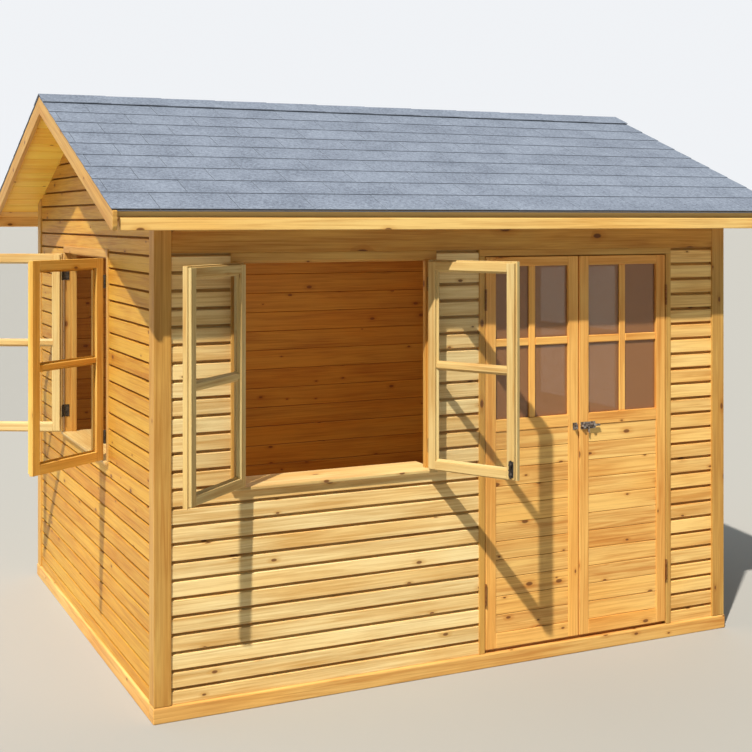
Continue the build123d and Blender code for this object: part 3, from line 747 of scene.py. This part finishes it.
def door(hand):
    """The boards of one door's frame and glazing bars, and those of its panel."""
    low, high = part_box(hand + "_door_leaf")
    glass_low, glass_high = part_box(hand + "_door_glass")
    panel_low, panel_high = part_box(hand + "_door_panel")
    y0, y1 = low.y, high.y
    inner = low.x + DOOR_STILE, high.x - DOOR_STILE
    heights = [(low.z, panel_low.z), (panel_high.z, glass_low.z), (glass_high.z, high.z)]
    sticks = [board((x, y0, low.z), (x + DOOR_STILE, y1, high.z), Z, DOOR_ARRIS)
              for x in (low.x, high.x - DOOR_STILE)]
    sticks += [board((inner[0], y0, a), (inner[1], y1, b), X, DOOR_ARRIS) for a, b in heights]
    across, up = (inner[0] + inner[1]) / 2, (glass_low.z + glass_high.z) / 2
    half = DOOR_BAR / 2
    lights = (inner[0], across - half), (across + half, inner[1])  # left and right of the upright bar
    for a, b in ((glass_low.y - BAR_STANDS, glass_low.y), (glass_high.y, glass_high.y + BAR_STANDS)):
        sticks.append(board((across - half, a, glass_low.z), (across + half, b, glass_high.z),
                            Z, DOOR_BAR_ARRIS))
        sticks += [board((c, a, up - half), (d, b, up + half), X, DOOR_BAR_ARRIS) for c, d in lights]
    for x0, x1 in lights:
        for z0, z1 in ((glass_low.z, up - half), (up + half, glass_high.z)):
            sticks += beads((x0, z0), (x1, z1), glass_high.y)
    count = round((panel_high.z - panel_low.z) / PANEL_COVER)
    step = (panel_high.z - panel_low.z) / count
    panel = [board((panel_low.x, y0 + PANEL_BACK, panel_low.z + n * step),
                   (panel_high.x, panel_high.y, panel_low.z + (n + 1) * step), arris=PANEL_V, joint=Z)
             for n in range(count)]
    return sticks, panel


for hand in ("left", "right"):
    sticks, panel = door(hand)
    gather(hand + "_door_frame_and_bars", sticks, DOOR_PINE, [hand + "_door_leaf"],
           hand + "_door")
    gather(hand + "_door_boards", panel, PANEL_PINE, [hand + "_door_panel"],
           hand + "_door")

# %% [markdown]
# ## The roof deck
# Under the shingles lies a deck of matched boards that run along the building. Their undersides
# show at the eaves, at the gables and from inside the room. Each slope is laid out flat: x along
# the ridge, y down the slope from the ridge, z out through the roof. A matrix then tilts it. The
# lowest board of each slope shows its edge along the eave, and it is as pale as the fascia.

# %% Deck boards
deck_low, deck_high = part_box("front_roof_deck")
EAVE_RUN = -deck_low.y / math.cos(PITCH)  # down the slope from the ridge to the edge of the deck
RIDGE_UNDER = deck_low.z + EAVE_RUN * math.sin(PITCH)  # underside of the deck, met at the ridge
DECK_THICK = (deck_high.z - RIDGE_UNDER) * math.cos(PITCH)
DECK_COVER = 0.097
DECK_V = 0.0025
RIDGE_SPARE = 0.02  # the top board is this much too wide until it is cut plumb
TO_FRONT_SLOPE = (Matrix.Translation((0, 0, RIDGE_UNDER)) @ Matrix.Rotation(math.pi, 4, "Z")
                  @ Matrix.Rotation(-PITCH, 4, "X"))
TO_BACK_SLOPE = Matrix.Translation((0, 0, RIDGE_UNDER)) @ Matrix.Rotation(-PITCH, 4, "X")


def deck_boards():
    """The deck of one slope, from the eave to the ridge, where the last board is cut plumb."""
    count = round(EAVE_RUN / DECK_COVER)
    step = EAVE_RUN / count
    boards = [board((deck_low.x, n * step if n else -RIDGE_SPARE, 0),
                    (deck_high.x, (n + 1) * step, DECK_THICK), arris=DECK_V, joint=Y)
              for n in range(count)]
    clip(boards[0], (0, 0, 0), (0, -math.cos(PITCH), -math.sin(PITCH)))
    clip(boards[-1], (0, EAVE_RUN, 0), (0, math.cos(PITCH), math.sin(PITCH)))
    return boards


front_deck = placed(deck_boards(), TO_FRONT_SLOPE)
back_deck = placed(deck_boards(), TO_BACK_SLOPE)
gather("roof_deck", front_deck[:-1] + back_deck[:-1], DECK_PINE_PAINTED_LIGHTER,
       ["front_roof_deck", "back_roof_deck"])
gather("eave_boards", [front_deck[-1], back_deck[-1]], FASCIA_PINE)
print("deck thickness", round(DECK_THICK * 1000, 1), "mm, slope", round(EAVE_RUN, 3), "m")

# %% [markdown]
# ## Felt shingles
# The covering is blue-grey mineral felt, cut into tabs with narrow slots between them. Each course
# laps over the slots of the course below and stands half a tab to one side of it. Every tab is its
# own thin leaf here, tilted so that its lower edge rests on the course beneath, because that edge
# and its thin shadow are what draws the lines on the roof.

# %% The felt material
CUT_FELT = (112, 119, 132)  # a cut edge has few granules and shows the dark bitumen
SPECK_SHARE, TAB_SHARE = 0.34, 0.06  # how far single granules and a tab's own tone go to pale
FELT_RELIEF = 0.002


def mineral_felt(name, pale, deep):
    """Felt with stone granules: a fine speckle of several greys, and a tone for each tab."""
    material, tree, shader = surface(name)
    place = make(tree, "ShaderNodeTexCoord", {}).outputs["Object"]
    tone = make(tree, "ShaderNodeAttribute", {}, attribute_name="tone").outputs["Fac"]
    grains = make(tree, "ShaderNodeTexVoronoi", {"Vector": place, "Scale": 240})
    speck = make(tree, "ShaderNodeSeparateColor", {0: grains.outputs["Color"]}).outputs[0]
    clump = make(tree, "ShaderNodeTexNoise", {"Vector": place, "Scale": 70, "Detail": 4}).outputs[0]
    patch = make(tree, "ShaderNodeTexNoise", {"Vector": place, "Scale": 5, "Detail": 4}).outputs[0]
    share = sums(tree, "MULTIPLY_ADD", speck, SPECK_SHARE, sums(tree, "MULTIPLY", tone, TAB_SHARE))
    share = sums(tree, "ADD", share, ramp(tree, clump, 0.3, 0.7, -0.02, 0.36))
    share = sums(tree, "ADD", share, ramp(tree, patch, 0.35, 0.65, -0.05, 0.12))
    share = make(tree, "ShaderNodeClamp", {0: share}).outputs[0]
    colour = mixed(tree, share, tint(*deep), tint(*pale))
    normal = make(tree, "ShaderNodeTexCoord", {}).outputs["Normal"]
    upward = make(tree, "ShaderNodeSeparateXYZ", {0: normal}).outputs["Z"]
    colour = mixed(tree, ramp(tree, upward, 0.5, 0.8), tint(*CUT_FELT), colour)
    bump = make(tree, "ShaderNodeBump", {"Height": clump, "Strength": 0.4, "Distance": FELT_RELIEF})
    tree.links.new(colour, shader.inputs["Base Color"])
    tree.links.new(bump.outputs[0], shader.inputs["Normal"])
    tree.links.new(ramp(tree, speck, 0, 1, 0.8, 0.95), shader.inputs["Roughness"])
    shader.inputs["Specular IOR Level"].default_value = MATTE_SHEEN
    return material


FELT = mineral_felt("mineral_felt", (152, 162, 180), (82, 90, 106))
# near-black felt: partly its own darker colour, partly painted shade under the shingles' edge
DARK_FELT_WITH_PAINTED_SHADE = mineral_felt("dark_felt_with_painted_shade", (52, 54, 58), (30, 32, 36))
print("felts", FELT.name, DARK_FELT_WITH_PAINTED_SHADE.name)

# %% Lay the shingles
sheet_low, sheet_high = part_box("front_shingles")
SHEET_THICK = 0.008
SHEET_RUN = (-sheet_low.y - (DECK_THICK + SHEET_THICK) * math.sin(PITCH)) / math.cos(PITCH)
TAB_WIDE = 0.333
SLOT = 0.002
EXPOSURE = 0.16       # what each course shows
FIRST_COURSE = 0.19
LAP = 0.02
TAB_THICK = 0.0034
TAB_ARRIS = 0.0007
UNDERLAY = 0.0006
UNDERLAY_BACK = 0.004  # the underlay stops this far inside the edges of the slope
UNDERLAY_ARRIS = 0.0001
AIR = 0.0002           # left over and under a tilted tab
RIDGE_GAP = 0.01       # no tab goes nearer to the ridge
ODD_TOP = 0.004        # how much the tabs' upper and lower edges vary
ODD_FOOT = 0.002
FIRST_TAB_SHARE = 0.2  # of the first tab is cut off at the gable


def shingle_slope(seed):
    """All tabs of one slope over a thin underlay."""
    rest = DECK_THICK
    tabs = [board((sheet_low.x + UNDERLAY_BACK, UNDERLAY_BACK, rest),
                  (sheet_high.x - UNDERLAY_BACK, SHEET_RUN - UNDERLAY_BACK, rest + UNDERLAY),
                  arris=UNDERLAY_ARRIS, seed=seed)]
    bottom, course = SHEET_RUN, 0
    while bottom > EXPOSURE / 2:
        shows = EXPOSURE if course else FIRST_COURSE
        high = max(bottom - shows - LAP, RIDGE_GAP)
        tilt = math.asin((SHEET_THICK - UNDERLAY - TAB_THICK - 2 * AIR) / (bottom - high))
        x = sheet_low.x - (TAB_WIDE / 2 if course % 2 else 0) - TAB_WIDE * FIRST_TAB_SHARE
        while x < sheet_high.x:
            x0, x1 = max(x + SLOT / 2, sheet_low.x), min(x + TAB_WIDE - SLOT / 2, sheet_high.x)
            if x1 - x0 > SLOT:
                tab = board((x0, high - bottom + dice.uniform(0, ODD_TOP), 0),
                            (x1, dice.uniform(-ODD_FOOT, 0), TAB_THICK), arris=TAB_ARRIS)
                tab.transform(Matrix.Translation((0, bottom, rest + SHEET_THICK - TAB_THICK - AIR))
                              @ Matrix.Rotation(tilt, 4, "X"))
                tabs.append(tab)
            x += TAB_WIDE
        bottom -= shows
        course += 1
    print(course, "courses")
    return tabs


gather("front_shingle_tabs", placed(shingle_slope(1), TO_FRONT_SLOPE), FELT,
       ["front_shingles"])
gather("back_shingle_tabs", placed(shingle_slope(2), TO_BACK_SLOPE), FELT,
       ["back_shingles"])

# %% [markdown]
# ## The starter strip
# Under the lowest course lies a starter strip of darker felt. It reaches past the edge of the deck
# with the shingles, so that rain drips clear of the fascia, and its edge draws a thin black line
# along the eave. Its near-black is partly the felt's own darker colour and partly painted shade
# under the edge of the shingles.

# %% Starter strips
STRIP_THICK = 0.005
STRIP_BACK = 0.006    # inside the gable edges, and past the edge of the deck
STRIP_SHORT = 0.0005  # inside the edge of the shingles
STRIP_ARRIS = 0.0005
strips = [board((sheet_low.x + STRIP_BACK, EAVE_RUN + STRIP_BACK, DECK_THICK - STRIP_THICK),
                (sheet_high.x - STRIP_BACK, SHEET_RUN - STRIP_SHORT, DECK_THICK), arris=STRIP_ARRIS)
          for _ in range(2)]
placed(strips[:1], TO_FRONT_SLOPE)
placed(strips[1:], TO_BACK_SLOPE)
# the strip's near-black edge is partly painted shade under the shingles
gather("starter_strips", strips, DARK_FELT_WITH_PAINTED_SHADE)

# %% [markdown]
# ## The ridge
# Short pieces of the same felt are folded over the ridge, each lapping the one before. A folded
# outline is pushed along the ridge for one piece, then tilted a little so its end lies on the next.

# %% Ridge pieces
cap_low, cap_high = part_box("ridge_cap")
CAP_PIECE = 0.31
CAP_LAP = 0.045
CAP_THICK = 0.0028
CAP_RISE = 0.0026     # how much higher the lapping end lies
CAP_SHORT = 0.0005    # the last piece stops this far inside the gable edge


def ridge_piece(x0, x1):
    """One folded piece over the ridge."""
    top, half = cap_high.z - CAP_RISE, cap_high.y
    drop = half * math.tan(PITCH)
    outline = [(-half, top - drop), (0, top), (half, top - drop), (half, top - drop - CAP_THICK),
               (0, top - CAP_THICK), (-half, top - drop - CAP_THICK)]
    bm = moulding(outline, x0, x1)
    bmesh.ops.rotate(bm, cent=(x0, 0, top), verts=bm.verts,
                     matrix=Matrix.Rotation(-math.asin(CAP_RISE / (x1 - x0)), 3, "Y"))
    return bm


count = math.ceil((cap_high.x - cap_low.x) / CAP_PIECE)
step = (cap_high.x - cap_low.x) / count
ridge = [ridge_piece(cap_low.x + n * step,
                     min(cap_low.x + (n + 1) * step + CAP_LAP, cap_high.x - CAP_SHORT))
         for n in range(count)]
gather("ridge_pieces", ridge, FELT, ["ridge_cap"])

# %% [markdown]
# ## Glass and metal
# The panes stay as the CAD made them. Clear float glass shows what is behind it when seen square
# on, and mirrors the surroundings at a slant, so its share of see-through follows the Fresnel
# effect. The doors' panes are mostly an even, solid brown. The casements hang on blackened steel
# hinges and the doors on brassed ones, and the doors' bolt is bright zinc that has dulled in places.

# %% Glass
GLASS_IOR = 1.6
FULL_MIRROR = 0.9  # how solid the glass looks at a grazing angle


def clear_glass(name, solid_colour, solid_share):
    """Thin window glass: a share of it is solid colour, and it mirrors more at a slant."""
    material, tree, shader = surface(name)
    slant = make(tree, "ShaderNodeLayerWeight", {"Blend": 0.5}).outputs["Facing"]
    mirror = sums(tree, "POWER", slant, 5)
    place = make(tree, "ShaderNodeTexCoord", {}).outputs["Object"]
    haze = make(tree, "ShaderNodeTexNoise", {"Vector": place, "Scale": 3, "Detail": 3}).outputs[0]
    shader.inputs["Base Color"].default_value = tint(*solid_colour)
    shader.inputs["IOR"].default_value = GLASS_IOR
    tree.links.new(ramp(tree, haze, 0.3, 0.7, 0.01, 0.035), shader.inputs["Roughness"])
    tree.links.new(ramp(tree, mirror, 0, 1, solid_share, FULL_MIRROR), shader.inputs["Alpha"])
    return material


WINDOW_GLASS = clear_glass("window_glass", (60, 62, 58), 0.05)
# the doors' panes are about three quarters solid brown, which gives them an even, dim brown look
DOOR_GLASS = clear_glass("door_glass", (150, 104, 66), 0.74)
for node, glass in (("window_glass", WINDOW_GLASS), ("left_door_glass", DOOR_GLASS),
                    ("right_door_glass", DOOR_GLASS)):
    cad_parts[node].data.materials.clear()
    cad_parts[node].data.materials.append(glass)
    print(node, "is", glass.name)


# %% Metal
METAL_SHARE = 0.75  # the rest is dirt and lacquer


def worn_metal(name, plain, rubbed):
    """Plated or blackened steel, rubbed lighter in places."""
    material, tree, shader = surface(name)
    place = make(tree, "ShaderNodeTexCoord", {}).outputs["Object"]
    rub = make(tree, "ShaderNodeTexNoise", {"Vector": place, "Scale": 90, "Detail": 5}).outputs[0]
    colour = mixed(tree, ramp(tree, rub, 0.4, 0.7), tint(*plain), tint(*rubbed))
    tree.links.new(colour, shader.inputs["Base Color"])
    tree.links.new(ramp(tree, rub, 0.3, 0.7, 0.38, 0.55), shader.inputs["Roughness"])
    shader.inputs["Metallic"].default_value = METAL_SHARE
    return material


BLACK_STEEL = worn_metal("black_steel", (58, 54, 50), (104, 98, 92))
BRASSED_STEEL = worn_metal("brassed_steel", (132, 86, 44), (178, 126, 72))
ZINC_STEEL = worn_metal("zinc_steel", (96, 82, 74), (206, 196, 188))
for node, metal in (("window_hinges", BLACK_STEEL), ("door_frame_hinges", BRASSED_STEEL),
                    ("left_door_hinges", BRASSED_STEEL), ("right_door_hinges", BRASSED_STEEL),
                    ("left_door_keeper", ZINC_STEEL), ("right_door_bolt", ZINC_STEEL)):
    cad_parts[node].data.materials.clear()
    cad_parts[node].data.materials.append(metal)
    print(node, "is", metal.name)

# %% [markdown]
# ## Bolts on the casements
# On the room side of one leaf of each pair a small barrel bolt holds it when it is shut: a rod that
# slides through two straps on a thin plate, low on the free stile. It is made shut and swung with
# its leaf.

# %% Casement bolts
BOLT_LONG = 0.07
BOLT_PLATE = 0.024
BOLT_ROD = 0.0042
BOLT_UP = 0.016      # from the foot of the leaf
PLATE_THICK = 0.002
STRAP_SHARE = 0.7    # of the plate's width
STRAP_HIGH = 0.012
STRAP_STANDS = 0.01
STRAP_INSET = 0.008  # from the ends of the plate
PLATE_ARRIS, STRAP_ARRIS = 0.0004, 0.002
ROD_PAST = 0.004     # how far the rod runs past the plate at each end
KNOB_LONG = 0.012
KNOB_OUT = 0.009
KNOB_END_SHARE = 0.8
ROUND_SIDES = 12


def casement_bolt():
    """A barrel bolt on the free stile of a leaf that is shut and hung on its left."""
    x, z = LEAF_RIGHT - MEMBER / 2, LEAF_LOW + BOLT_UP
    plate, strap, face = BOLT_PLATE / 2, BOLT_PLATE / 2 * STRAP_SHARE, LEAF_BACK + PLATE_THICK
    parts = [board((x - plate, LEAF_BACK, z), (x + plate, face, z + BOLT_LONG), Z, PLATE_ARRIS)]
    parts += [board((x - strap, face, z + up), (x + strap, face + STRAP_STANDS, z + up + STRAP_HIGH),
                    Z, STRAP_ARRIS) for up in (STRAP_INSET, BOLT_LONG - STRAP_INSET - STRAP_HIGH)]
    rod, knob = blank(), blank()
    middle = Matrix.Translation((x, face + BOLT_ROD, z + BOLT_LONG / 2))
    bmesh.ops.create_cone(rod, cap_ends=True, segments=ROUND_SIDES, radius1=BOLT_ROD,
                          radius2=BOLT_ROD, depth=BOLT_LONG + 2 * ROD_PAST, matrix=middle)
    outward = Matrix.Translation((0, KNOB_OUT, 0)) @ Matrix.Rotation(-math.pi / 2, 4, "X")
    bmesh.ops.create_cone(knob, cap_ends=True, segments=ROUND_SIDES, radius1=BOLT_ROD,
                          radius2=BOLT_ROD * KNOB_END_SHARE, depth=KNOB_LONG, matrix=middle @ outward)
    return parts + [rod, knob]


bolts = []
for side, right_hung in (("front", 1), ("left", 0), ("right", 1)):
    bolts += placed(casement_bolt(), WINDOW_AT[side] @ swung(OPEN[side][right_hung], right_hung))
gather("casement_bolts", bolts, BLACK_STEEL)
print("materials", [m.name for m in bpy.data.materials])

# %% [markdown]
# ## Floor, light and camera
# The building stands on a plain pale floor. One broad lamp high at the front left does the work of
# the sun, with soft edges, and a pale sky fills the shade, bright behind the building and cool in
# front of it. Two weak lamps stand in for the light that the ground throws under the left gable and
# that the boards of the room pass on. The camera stands where the picture was taken, a little left
# of the front corner, level, with its frame shifted so that posts stay upright.

# %% Floor
FLOOR_SIZE = 1200
FLOOR_TINT = (162, 160, 156)
floor_mesh = bmesh.new()
bmesh.ops.create_grid(floor_mesh, x_segments=1, y_segments=1, size=FLOOR_SIZE / 2)
mesh = bpy.data.meshes.new("studio_floor")
floor_mesh.to_mesh(mesh)
floor_mesh.free()
floor_material, _, floor_shader = surface("studio_floor")
floor_shader.inputs["Base Color"].default_value = tint(*FLOOR_TINT)
floor_shader.inputs["Roughness"].default_value = 0.9
mesh.materials.append(floor_material)
studio_floor = bpy.data.objects.new("studio_floor", mesh)
bpy.context.collection.objects.link(studio_floor)
studio_floor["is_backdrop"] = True
print("floor", FLOOR_SIZE, "m square")

# %% Light
SUN_TRAVEL = Vector((1.07, 1.0, -2.04))
SUN_POWER = 5.5
SUN_SOFT = 1.0     # degrees across
SKY_FRONT = 0.18   # brightness of the studio behind the camera
SKY_BEHIND = 0.92  # brightness of the pale backdrop behind the building
BRIGHT_WAY = (-0.22, 0.975, 0)  # the sky is brightest behind the building and to its left
ROOM_FILL = 16     # watts of soft light in the room
ROOM_LAMP_AT = (0, -0.4, 2.1)
ROOM_LAMP_SIZE = 1.6
GABLE_FILL = 9     # watts of light thrown up under the left gable
GABLE_LAMP_AT = (-3.0, 0, 0.4)
GABLE_LAMP_SIZE = 1.2
DOWN, UP_TO_GABLE = (0, 0, -1), (0.6, 0, 1)
SUN_LIGHT = (1.0, 0.95, 0.86)
WARM_LIGHT = (1.0, 0.93, 0.84)
COOL_LIGHT = (0.66, 0.92, 1.0)
PALE_LIGHT = (0.95, 0.97, 1.0)
sun = bpy.data.lights.new("sun", "SUN")
sun.energy = SUN_POWER
sun.angle = math.radians(SUN_SOFT)
sun.color = SUN_LIGHT
sun_object = bpy.data.objects.new("sun", sun)
sun_object.rotation_euler = SUN_TRAVEL.to_track_quat("-Z", "Y").to_euler()
bpy.context.collection.objects.link(sun_object)


def soft_lamp(name, power, colour, size, place, way):
    """A square lamp, which the camera doesn't see."""
    lamp = bpy.data.lights.new(name, "AREA")
    lamp.energy = power
    lamp.size = size
    lamp.color = colour
    lamp_object = bpy.data.objects.new(name, lamp)
    lamp_object.location = place
    lamp_object.rotation_euler = Vector(way).to_track_quat("-Z", "Y").to_euler()
    lamp_object.visible_camera = False
    bpy.context.collection.objects.link(lamp_object)


soft_lamp("room_fill", ROOM_FILL, WARM_LIGHT, ROOM_LAMP_SIZE, ROOM_LAMP_AT, DOWN)
soft_lamp("gable_fill", GABLE_FILL, WARM_LIGHT, GABLE_LAMP_SIZE, GABLE_LAMP_AT, UP_TO_GABLE)
world = bpy.data.worlds.new("sky")
world.use_nodes = True
sky = world.node_tree
way = make(sky, "ShaderNodeTexCoord", {}).outputs["Generated"]
heading = make(sky, "ShaderNodeVectorMath", {0: way, 1: BRIGHT_WAY}, operation="DOT_PRODUCT")
behind = ramp(sky, heading.outputs["Value"], 0, 0.5)
backdrop = sky.nodes["Background"]
sky.links.new(ramp(sky, behind, 0, 1, SKY_FRONT, SKY_BEHIND), backdrop.inputs["Strength"])
sky.links.new(mixed(sky, behind, (*COOL_LIGHT, 1), (*PALE_LIGHT, 1)), backdrop.inputs["Color"])
bpy.context.scene.world = world
bpy.context.scene.view_settings.view_transform = "Standard"
print("sun", SUN_POWER, "sky", SKY_FRONT, "to", SKY_BEHIND)

# %% Camera
CAMERA_AT = (-2.9504, -6.4772, 2.0926)
CAMERA_TURN = (math.pi / 2, 0, -0.44216)
CAMERA_LENS = 61.78
CAMERA_SHIFT = -0.208
camera = bpy.data.cameras.new("camera")
camera.lens = CAMERA_LENS
camera.shift_y = CAMERA_SHIFT
camera_object = bpy.data.objects.new("camera", camera)
camera_object.location = CAMERA_AT
camera_object.rotation_euler = CAMERA_TURN
bpy.context.collection.objects.link(camera_object)
bpy.context.scene.camera = camera_object
print("camera", CAMERA_AT, "lens", CAMERA_LENS)

# %% Sizes, and the end
visual_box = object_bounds()
for kind, box in (("CAD", cad_box), ("visual", visual_box)):
    print(kind, [[round(x, 4) for x in c] for c in box])
